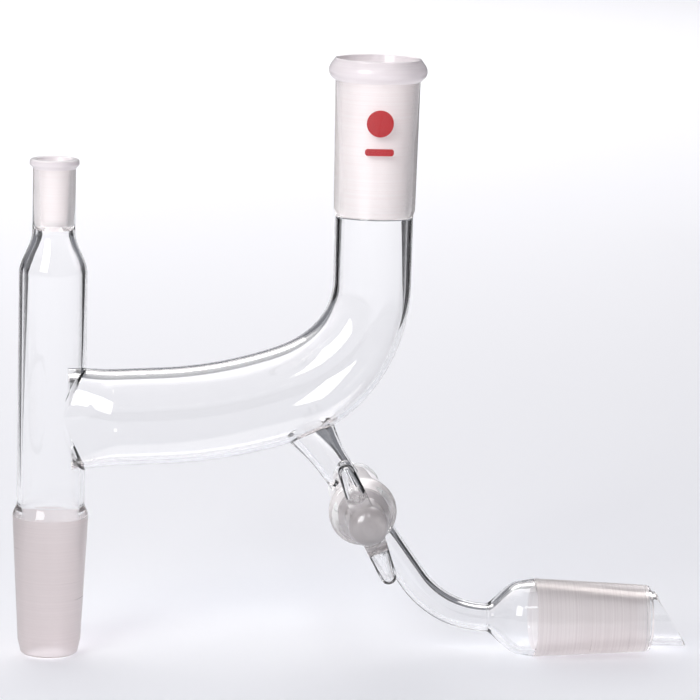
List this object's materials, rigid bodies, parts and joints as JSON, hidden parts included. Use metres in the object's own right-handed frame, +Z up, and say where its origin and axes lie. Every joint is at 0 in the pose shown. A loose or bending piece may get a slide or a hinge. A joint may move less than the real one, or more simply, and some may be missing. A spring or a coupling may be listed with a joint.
{
  "type": "distilling head",
  "caption": "Glass distilling head with a reflux bend, ground joints for flask, condenser, thermometer and receiver, and a take-off stopcock.",
  "frame": {"origin": "centre of the flask cone's large end, on the column's axis", "axes": "+Z up along the column, +X from the column to the condenser socket, -Y towards the stopcock handle"},
  "size_m": [0.2179, 0.0675, 0.1926],
  "materials": {
    "clear_borosilicate": "clear drawn and blown borosilicate glass, fire polished",
    "ground_borosilicate": "borosilicate glass ground matt on its tapered face",
    "thin_ground": "thin borosilicate socket, bore ground matt",
    "ground_plug": "hollow borosilicate plug, ground matt",
    "ptfe": "white PTFE, turned",
    "nitrile_rubber": "black moulded nitrile"
  },
  "bodies": {
    "head": {"thermometer_socket": "thin_ground", "column_tube": "clear_borosilicate", "flask_cone": "ground_borosilicate", "side_arm": "clear_borosilicate", "condenser_socket": "ground_borosilicate", "takeoff_stem": "clear_borosilicate", "stopcock_barrel": "clear_borosilicate", "delivery_tube": "clear_borosilicate", "receiver_shoulder": "clear_borosilicate", "receiver_cone": "ground_borosilicate", "drip_tip": "clear_borosilicate"},
    "plug": {"stopcock_plug": "ground_plug", "plug_handle": "clear_borosilicate", "plug_washer": "ptfe", "plug_keeper_ring": "nitrile_rubber"}
  },
  "joints": [
    {"name": "plug_turn", "type": "hinge", "parent": "head", "child": "plug", "pos_m": [0.09811, 0, 0.00604], "axis": [0, 1, 0], "continuous": true}
  ]
}
